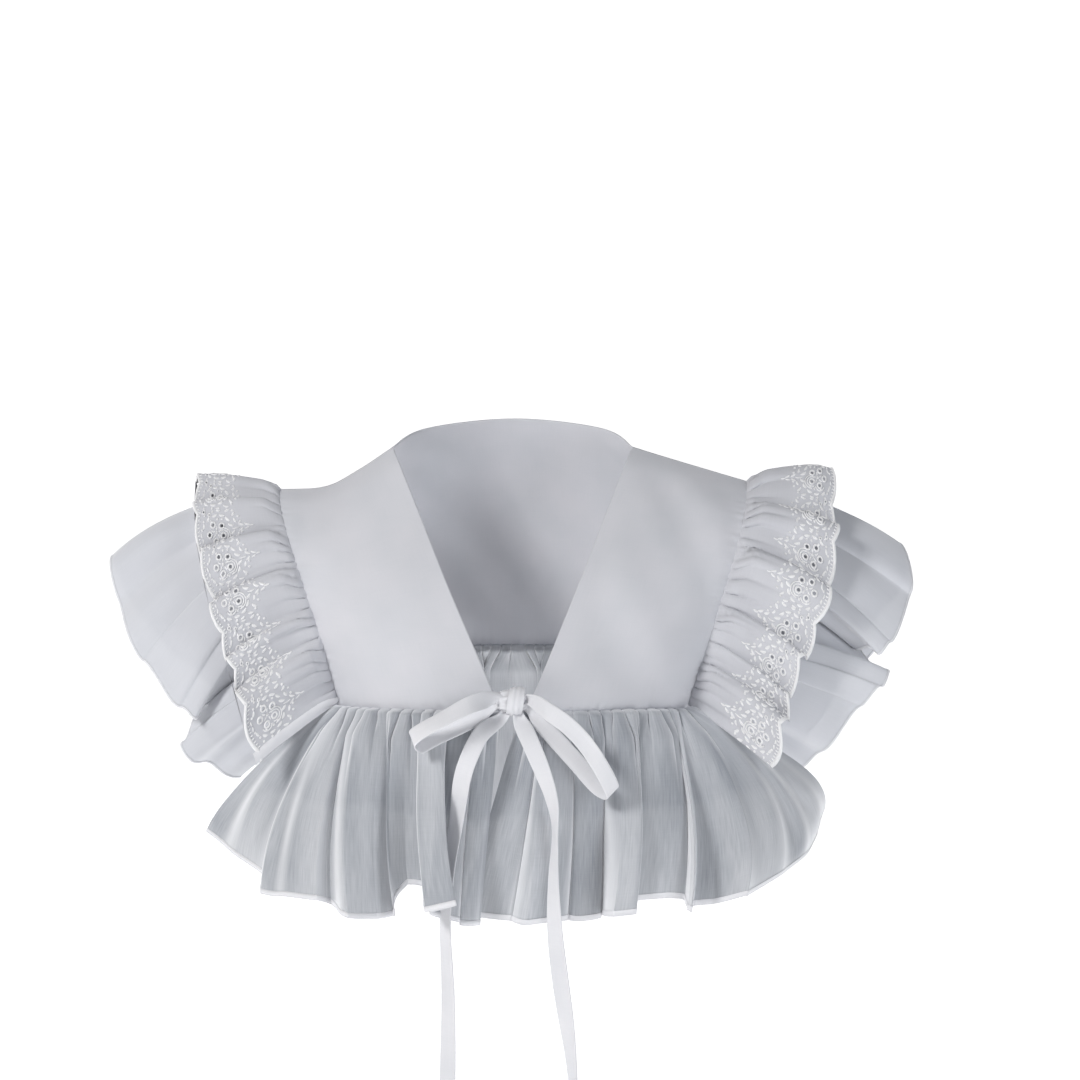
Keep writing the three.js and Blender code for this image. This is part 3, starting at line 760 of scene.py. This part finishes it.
def back_folds():
    """Fold rows of the back flounce, in and out by turns."""
    count, half_width, swing_mm, bow_mm = 15, 205, 12, 12.0
    end_y, middle_y = 46, 120
    end_z, middle_z = -288, -335
    share = np.linspace(0, 1, count)
    middle = np.sin(np.pi * share)
    swing = np.where(np.arange(count) % 2, swing_mm, -swing_mm)
    return np.stack([
        0.015 + 0.97 * share,
        -half_width + 2 * half_width * share,
        end_y + (middle_y - end_y) * middle + swing * middle,
        end_z + (middle_z - end_z) * middle,
        np.full(count, bow_mm)], axis=1)


flounces = {
    "front_left": (Gathered(edge(LOWER_LEFT), FLOUNCE_LEFT, 1, 0, SEAM_TUCK, 0.75), True, 720),
    "front_right": (Gathered(edge(LOWER_RIGHT), FLOUNCE_RIGHT, -1, 0, SEAM_TUCK, 0.75), False, 720),
    "back": (Gathered(back_seam, back_folds(), -1, 0, SEAM_TUCK), False, 800),
}
flounce_pieces = {
    name: place_soft(
        f"flounce_{name}_cloth", f"flounce_{name}", "flounce_chiffon", CHIFFON, strip=strip,
        columns=columns, rows=60, seed=80 + columns, gather=1.65, deep=1.5, hem_width=4.4, flip=flip)
    for name, (strip, flip, columns) in flounces.items()
}


# Eyelet lace
class Lace:
    """Maps mm along the ruffle and mm from its seam onto the gathered surface."""

    def __init__(self, strip, puffs, seed, turned_end=0.0):
        self.strip, self.seed, self.turned_end = strip, seed, turned_end
        starts, ends, heights = puffs[:-1, 0], puffs[1:, 0], puffs[:-1, 1]
        self.starts = np.concatenate([starts, 1 - ends[::-1]])
        self.ends = np.concatenate([ends, 1 - starts[::-1]])
        self.heights = np.concatenate([heights, heights[::-1]])
        self.short = Pleats(strip.seam_length, seed, (4.5, 10.0), (1.8, 4.2), (9, 34))
        self.place = np.linspace(0, strip.last, 3000)
        self.reached = run_reached(strip(self.place, np.full(3000, 0.7), self.lift))
        self.length = self.reached[-1]
        self.scallops = round((self.length - turned_end) / SCALLOP_PITCH)
        self.pitch = (self.length - turned_end) / self.scallops

    def lift(self, share, t):
        """Puffs that each lean over the next one up, and small gathers at the seam."""
        k = np.clip(np.searchsorted(self.starts, share, side="right") - 1, 0, len(self.starts) - 1)
        x = np.clip((share - self.starts[k]) / (self.ends[k] - self.starts[k]), 0, 1)
        up = np.where(share > 0.5, -1, 1)
        x = np.where(up > 0, x, 1 - x)
        growth = PUFF_HEIGHT_AT_SEAM + (1 - PUFF_HEIGHT_AT_SEAM) * t
        height = self.heights[k] * smooth(0, PUFF_RISE, t) * growth
        puff = np.sin(np.pi * x ** PUFF_LATENESS) * height
        off, slide = self.short(share * self.strip.seam_length, t * LACE_WIDTH, 3.0)
        soft = ripple(share * self.strip.seam_length, self.seed + 3, 14, 30, 8) * 0.7 * smooth(0.05, 0.6, t)
        return puff + off + soft, puff * PUFF_LEAN * up + slide

    def __call__(self, s, mm, height=None):
        place = np.interp(s, self.reached, self.place)
        t = np.asarray(mm) / LACE_WIDTH
        point = self.strip(place, t, self.lift)
        if height is not None:
            step = 0.4
            ahead = self.strip(np.interp(s + step, self.reached, self.place), t, self.lift)
            behind = self.strip(np.interp(s - step, self.reached, self.place), t, self.lift)
            up = self.strip(place, t + step / LACE_WIDTH, self.lift)
            down = self.strip(place, t - step / LACE_WIDTH, self.lift)
            normal = unit(np.cross(ahead - behind, up - down)) * self.strip.side
            point = point + normal * np.asarray(height)[..., None]
        return point

    def border(self, s):
        """mm from the seam to the scalloped edge."""
        turn = np.pi * np.maximum(s - self.turned_end, 0) / self.pitch
        return LACE_WIDTH - SCALLOP_DEPTH * (1 - np.abs(np.sin(turn)) ** 0.8)

    def flower(self, k):
        """(s, mm) of the middle of a flower."""
        return np.array([self.turned_end + (k + 0.5) * self.pitch, FLOWER_FROM_SEAM])


def circle(centre, radius, count, start=0.0):
    angle = start + 2 * np.pi * np.arange(count) / count
    return np.stack([centre[0] + radius * np.cos(angle), centre[1] + radius * np.sin(angle)], axis=1)


def toward(angle):
    return np.array([math.cos(angle), math.sin(angle)])


def petal_angle(petal):
    return 2 * np.pi * (petal + 0.25) / PETALS


def flower_eyelets(lace):
    """(s, mm, radius) of every eyelet: five to a flower and small ones between flowers."""
    found = []
    for k in range(lace.scallops):
        centre = lace.flower(k)
        for petal in range(PETALS):
            found.append((*(centre + FLOWER_RADIUS * toward(petal_angle(petal))), EYELET_RADIUS))
        if k:
            for before, mm, radius in SMALL_EYELETS:
                found.append((centre[0] - lace.pitch / 2 - before, mm, radius))
    return found


def lace_cloth(name, lace):
    """Plain batiste with the eyelets cut through and the scalloped edge, as one meshed sheet."""
    eyelets = flower_eyelets(lace)
    points, loops = [], []

    def add_loop(loop):
        first = len(points)
        points.extend(loop.tolist())
        loops.append([(first + k, first + (k + 1) % len(loop)) for k in range(len(loop))])

    s = np.linspace(0, lace.length, lace.scallops * 24 + 1)
    outer = np.stack([s, lace.border(s)], axis=1)[::-1]
    inner = np.stack([s, 0 * s], axis=1)
    sides = np.linspace(0, lace.border(lace.length), 32)[1:-1]
    right = np.stack([np.full(len(sides), lace.length), sides], axis=1)
    left = np.stack([np.zeros(len(sides)), sides[::-1]], axis=1)
    add_loop(np.concatenate([inner, right, outer, left]))
    for centre_s, centre_t, radius in eyelets:
        add_loop(circle((centre_s, centre_t), radius, 14 if radius > 1 else 8))
    for centre_s, centre_t, radius in eyelets:
        if radius > 1:
            points.extend(circle((centre_s, centre_t), 2.3, 14, 0.2).tolist())
    centres = np.array([(e[0], e[1]) for e in eyelets])
    rows = np.concatenate([np.arange(1.2, 40, 2.4), np.arange(40, 75, 1.7)])
    for row, mm in enumerate(rows):
        line = np.arange(1.1 + (row % 2) * 1.1, lace.length - 1, 2.2)
        for x in line:
            if mm > lace.border(np.array(x)) - 1.0:
                continue
            aside, below = centres[:, 0] - x, centres[:, 1] - mm
            if np.min(np.abs(aside) + np.abs(below)) < 3.6 and np.min(np.hypot(aside, below)) < 2.6:
                continue
            points.append([x, mm])
    segments = [pair for loop in loops for pair in loop]
    flat, _, faces, _, _, _ = delaunay_2d_cdt([Vector(p) for p in points], segments, [], 0, 1e-5)
    flat = np.array([tuple(p) for p in flat])
    radii = np.array([e[2] for e in eyelets])
    kept = []
    for face in faces:
        middle = flat[list(face)].mean(axis=0)
        if middle[1] > lace.border(np.array(middle[0])) + 0.05 or middle[1] < 0:
            continue
        if np.any(np.hypot(centres[:, 0] - middle[0], centres[:, 1] - middle[1]) < radii * 0.93):
            continue
        kept.append(tuple(face) if lace.strip.side > 0 else tuple(reversed(face)))
    obj = mesh_object(name, lace(flat[:, 0], flat[:, 1]), kept, flat)
    thicken(obj, LACE_THICKNESS)
    return obj


class Satin:
    """Raised stitching collected as strips laid on the lace."""

    def __init__(self, lace):
        self.lace, self.points, self.uv, self.faces = lace, [], [], []

    def strip(self, path, width, height, closed=False):
        """A rounded ridge of the given width and height along a path of (s, mm) points."""
        path = np.asarray(path, float)
        if closed:
            tangent = np.roll(path, -1, axis=0) - np.roll(path, 1, axis=0)
        else:
            tangent = np.gradient(path, axis=0)
        normal = unit(np.stack([-tangent[:, 1], tangent[:, 0]], axis=1))
        lanes = np.array([-0.5, -0.3, 0, 0.3, 0.5])
        heights = np.array([-0.1, 0.8, 1.0, 0.8, -0.1]) * height + LACE_THICKNESS / 2
        width = np.broadcast_to(width, (len(path),))
        flat = path[:, None] + normal[:, None] * (lanes[None, :] * width[:, None])[..., None]
        lifted = self.lace(flat[..., 0], flat[..., 1], np.broadcast_to(heights, flat.shape[:2]))
        first, count = len(self.points), len(path)
        self.points.extend(lifted.reshape(-1, 3).tolist())
        uv = np.stack(np.meshgrid(run_reached(path), lanes, indexing="ij"), axis=-1)
        self.uv.extend(uv.reshape(-1, 2).tolist())
        last = count if closed else count - 1
        for i in range(last):
            a, b = first + i * 5, first + ((i + 1) % count) * 5
            for j in range(4):
                quad = (a + j, b + j, b + j + 1, a + j + 1)
                self.faces.append(quad if self.lace.strip.side < 0 else quad[::-1])

    def leaf(self, centre, angle, length, width):
        """A pointed satin leaf."""
        run = np.linspace(-0.5, 0.5, 7)
        arch = 1 - 4 * run ** 2
        direction = toward(angle)
        bend = np.array([-direction[1], direction[0]])
        middle = np.asarray(centre) + direction * (run * length)[:, None]
        path = middle + bend * (0.12 * length * arch)[:, None]
        self.strip(path, width * np.maximum(arch, 0.08) ** 0.6, 0.45)


def ring(satin, centre, radius, width, height, start=0, sweep=360):
    count = max(8, int(radius * 7))
    angles = np.radians(start + np.linspace(0, sweep, count, endpoint=sweep < 360))
    path = np.asarray(centre) + radius * np.stack([np.cos(angles), np.sin(angles)], axis=1)
    satin.strip(path, width, height, closed=sweep >= 360)


def lace_embroidery(name, lace):
    """Flowers of ringed eyelets, leaves, sprigs and dots set by the motif's tables, and a satin border."""
    satin = Satin(lace)
    for s, mm, radius in flower_eyelets(lace):
        if radius > 1:
            ring(satin, (s, mm), radius + 0.8, 1.6, 0.9)
        else:
            ring(satin, (s, mm), radius + 0.55, 1.1, 0.6)
    for k in range(lace.scallops):
        centre = lace.flower(k)
        for petal in range(PETALS):
            angle = petal_angle(petal + 0.5)
            satin.leaf(centre + 3.4 * toward(angle), angle, 3.6, 1.3)
        ring(satin, centre, 0.7, 1.1, 0.7)
        for petal, radius, start, sweep in ARCS:
            ring(satin, centre + FLOWER_RADIUS * toward(petal_angle(petal)), radius, 1.1, 0.7, start, sweep)
        for side in (-1, 1):
            for ds, dmm, angle, length, width in LEAVES:
                turned = math.radians(angle if side > 0 else 180 - angle)
                satin.leaf(centre + [side * ds, dmm], turned, length, width)
            for ds, dmm, radius in DOTS:
                ring(satin, centre + [side * ds, dmm], radius, 1.0, 0.6)
        for ds, dmm, angle, length, width in SPRIG:
            satin.leaf(centre + [ds, dmm], math.radians(angle), length, width)
    s = np.linspace(0.6, lace.length - 0.6, lace.scallops * 40)
    satin.strip(np.stack([s, lace.border(s) - 1.5], axis=1), 3.2, 0.9)
    steps = int(lace.length / FRINGE_PITCH)
    for k in range(steps):
        at = (k + 0.5) * lace.length / steps
        if at > lace.turned_end:
            satin.leaf((at, lace.border(np.array(at)) - 4.2), math.pi / 2, 2.6, 1.2)
    return mesh_object(name, satin.points, satin.faces, np.array(satin.uv))


def lace_end(name, lace):
    """The plain turned end of the lace: a flat folded strip across it."""
    turned = Satin(lace)
    run = np.linspace(0.4, LACE_WIDTH - 1.5, 50)
    middle = lace.turned_end * (0.5 - 0.12 * np.cos(run / LACE_WIDTH * np.pi))
    turned.strip(np.stack([middle, run], axis=1), lace.turned_end * smooth(-12, 16, run), 1.1)
    return mesh_object(name, turned.points, turned.faces, np.array(turned.uv))


laces = {
    "left": Lace(
        Gathered(seams["left"], with_back(LACE_LEFT), 1, LAYER_OFFSET, SEAM_TUCK),
        PUFFS_LEFT, 61, TURNED_END),
    "right": Lace(
        Gathered(seams["right"], with_back(LACE_RIGHT), -1, LAYER_OFFSET, SEAM_TUCK),
        PUFFS_RIGHT, 67),
}
lace_pieces = {}
for side, lace in laces.items():
    cloth = lace_cloth(f"lace_{side}_cloth", lace)
    place_piece(cloth, LACE, [f"lace_ruffle_{side}"])
    stitching = lace_embroidery(f"lace_{side}_embroidery", lace)
    place_piece(stitching, SATIN)
    lace_pieces[side] = (cloth, [stitching], lace)
end_fold = lace_end("lace_left_end", laces["left"])
place_piece(end_fold, HEM)
lace_pieces["left"][1].append(end_fold)


# Ribbon bow
def ribbon(name, rows, both_tied):
    """A flat ribbon along its rows, drawn together where it enters the knot."""
    row = every_row(rows, 10)
    roll, turn = np.radians(row[:, 3]), np.radians(row[:, 4])
    across = np.stack([np.cos(roll) * np.cos(turn), -np.cos(roll) * np.sin(turn), np.sin(roll)], axis=1)
    lanes = np.linspace(-0.5, 0.5, 9)
    reached = run_reached(row[:, :3])
    pinch = 1 - smooth(PINCH_START, PINCH_REACH, reached)
    if both_tied:
        pinch = np.maximum(pinch, 1 - smooth(PINCH_START, PINCH_REACH, reached[-1] - reached))
    widths = RIBBON_WIDTH * (1 - PINCH * pinch)
    grid = row[:, None, :3] + across[:, None] * (lanes[None] * widths[:, None])[..., None]
    normal = grid_normals(grid)
    along_rows = np.linspace(0, 12 * (len(rows) - 1), len(row))
    cup = ripple(along_rows, 5, 20, 60, 5) * 0.45 + pinch * PINCH_CUP
    dish = cup[:, None] * (4 * lanes ** 2 - 0.5)[None]
    rim = RIBBON_RIM * (np.abs(lanes) > 0.36)
    grid = grid + normal * (dish + rim[None])[..., None]
    obj = grid_object(name, grid)
    thicken(obj, RIBBON_THICKNESS)
    bevel = obj.modifiers.new("Edge", "BEVEL")
    bevel.width = 0.15 * MM
    bevel.segments = 1
    bevel.limit_method = "ANGLE"
    return obj, reached[-1]


for name, rows in (("loop_left", LOOP_LEFT), ("loop_right", LOOP_RIGHT),
                   ("tail_left", TAIL_LEFT), ("tail_right", TAIL_RIGHT)):
    piece, length = ribbon(f"tie_{name}_ribbon", rows, name.startswith("loop"))
    place_piece(piece, RIBBON, [f"tie_{name}"])


def knot():
    """The tied knot: the strands drawn together, with an upright wrap of the same ribbon."""
    azimuth, polar = np.meshgrid(np.linspace(0, 2 * np.pi, 97), np.linspace(0, np.pi, 41), indexing="ij")
    ball = np.stack([
        np.cos(polar), np.sin(polar) * np.cos(azimuth), np.sin(polar) * np.sin(azimuth)], axis=-1)
    ball = np.sign(ball) * np.abs(ball) ** 0.8
    creases = 0.10 * np.cos(azimuth * 7 + 1.5 * ball[..., 0]) * np.sin(polar) ** 0.5
    bundle = grid_object("bundle", ball * KNOT_BUNDLE * (1 + creases)[..., None] + KNOT_CENTRE)
    turn = np.linspace(0, 2 * np.pi, 81)[:, None]
    lanes = np.linspace(-0.5, 0.5, 13)[None]
    swell = 1 - 0.10 * (2 * lanes) ** 4 - 0.035 * np.cos(6 * np.pi * lanes)
    narrow = 1 - 0.14 * np.cos(turn)
    wrap = np.stack([
        lanes * WRAP_WIDTH * narrow + WRAP_LEAN * np.sin(turn) + WRAP_SHIFT,
        np.cos(turn) * swell * WRAP_DEPTH,
        np.sin(turn) * swell * WRAP_HEIGHT], axis=-1)
    return bundle, grid_object("band", wrap + KNOT_CENTRE)


bundle, band = knot()
thicken(band, RIBBON_THICKNESS)
tied = join("tie_knot_ribbon", [bundle, band])
place_piece(tied, RIBBON, ["tie_knot"])


# Topstitching beside the neck edges
def stitches(name, line, normal):
    """A run of small thread stitches as one mesh."""
    length, gap, radius = 2.2, 1.0, 0.2
    swell = np.array([0.3, 0.9, 1.0, 0.9, 0.3])
    lift = np.array([-0.1, 0.12, 0.18, 0.12, -0.1])
    count = int(run_length(line) / (length + gap))
    points, faces, uv = [], [], []
    turns = np.linspace(0, 2 * np.pi, 6, endpoint=False)
    for k in range(count):
        shares = (k + np.array([0.0, 0.2, 0.5, 0.8, 1.0]) * length / (length + gap)) / count
        spots = along(line, shares)
        tops = unit(along(normal, shares))
        run = unit(spots[-1] - spots[0])
        side = unit(np.cross(run, tops))
        first = len(points)
        for spot, top, across, grow, up in zip(spots, tops, side, swell, lift):
            centre = spot + top * up
            for angle in turns:
                points.append(centre + (across * math.cos(angle) + top * math.sin(angle)) * radius * grow)
                uv.append((k * 3 + grow, angle))
        for i in range(4):
            for j in range(6):
                a, b = first + i * 6 + j, first + i * 6 + (j + 1) % 6
                faces.append((a, b, b + 6, a + 6))
    return mesh_object(name, points, faces, np.array(uv))


def topstitch(name, grid, outward):
    """Stitches beside the neck edge, the first column of a yoke panel."""
    normals = grid_normals(grid) * outward
    step = unit(grid[1] - grid[0])
    line = grid[0] + step * TOPSTITCH_INSET + normals[0] * (YOKE_THICKNESS / 2)
    return stitches(name, line[2:-2], normals[0][2:-2])


sewing = [
    topstitch("neck_left", left_front, -1),
    topstitch("neck_right", right_front, 1),
]
sewn = join("neck_topstitching", sewing)
place_piece(sewn, THREAD)


# Sheets: the size each was cut to, worked out and not kept
def cut_size(strip):
    """The width of a gathered strip and the length that it was cut to."""
    place = np.linspace(0, strip.last, 900)
    length = run_length(strip(place, np.full(900, 0.6)))
    return np.linalg.norm(strip.frame(place)[1], axis=1).mean(), length * GATHER_ALLOWANCE


for side in ("left", "right"):
    cloth, hem = organza_pieces[side]
    cut_size(organza[side])
    cloth, stitching, lace = lace_pieces[side]
for name, (strip, _, _) in flounces.items():
    cloth, hem = flounce_pieces[name]
    cut_size(strip)


# Studio
def studio():
    """A pale floor that curves up into the backdrop, in metres."""
    floor_z, back_y, top_z, reach, radius, steps = -0.62, 2.6, 3.5, 7.0, 0.7, 16
    profile = [(-reach, floor_z), (back_y - radius, floor_z)]
    for step in range(1, steps + 1):
        angle = math.pi / 2 * step / steps
        y = back_y - radius + radius * math.sin(angle)
        profile.append((y, floor_z + radius * (1 - math.cos(angle))))
    profile.append((back_y, top_z))
    points = [(x, y, z) for x in (-reach, reach) for y, z in profile]
    count = len(profile)
    faces = [(i, i + 1, count + i + 1, count + i) for i in range(count - 1)]
    sweep = mesh_object("studio_sweep", np.array(points) / MM, faces)
    nodes = Nodes("studio_paper")
    grain = nodes.noise(nodes.add("ShaderNodeTexCoord").outputs["Object"], 6.0)
    paper = nodes.ramp(grain, [(0.3, (0.84, 0.84, 0.845)), (0.7, (0.86, 0.86, 0.865))])
    nodes.link(paper, nodes.shader.inputs["Base Color"])
    nodes.shader.inputs["Roughness"].default_value = 0.95
    nodes.shader.inputs["Emission Color"].default_value = (1, 1, 1, 1)
    nodes.shader.inputs["Emission Strength"].default_value = 0.66
    sweep.data.materials.append(nodes.material)


def area_light(name, position, size, power, color):
    light = bpy.data.lights.new(name, "AREA")
    light.shape = "DISK"
    light.size = size
    light.energy = power
    light.color = color
    obj = bpy.data.objects.new(name, light)
    obj.location = position
    obj.rotation_euler = (LIGHT_AIM - Vector(position)).to_track_quat("-Z", "Y").to_euler()
    bpy.context.scene.collection.objects.link(obj)


studio()
area_light("key", (-1.5, -1.35, 1.4), size=0.6, power=38, color=(1.0, 0.99, 0.98))
area_light("fill", (1.5, -1.6, 0.4), size=1.0, power=12.5, color=(0.93, 0.96, 1.0))

world = bpy.data.worlds.new("studio_air")
bpy.context.scene.world = world
world.use_nodes = True
world.node_tree.nodes["Background"].inputs["Color"].default_value = (0.93, 0.95, 1.0, 1)
world.node_tree.nodes["Background"].inputs["Strength"].default_value = 0.09
bpy.context.scene.view_settings.view_transform = "Standard"

camera_data = bpy.data.cameras.new("camera")
camera_data.lens = LENS
camera_data.sensor_width = 36
camera = bpy.data.objects.new("camera", camera_data)
look = Vector((0, math.cos(ELEVATION), -math.sin(ELEVATION)))
camera.location = TARGET - look * DISTANCE
camera.rotation_euler = look.to_track_quat("-Z", "Y").to_euler()
bpy.context.scene.collection.objects.link(camera)
bpy.context.scene.camera = camera

bpy.context.view_layer.update()
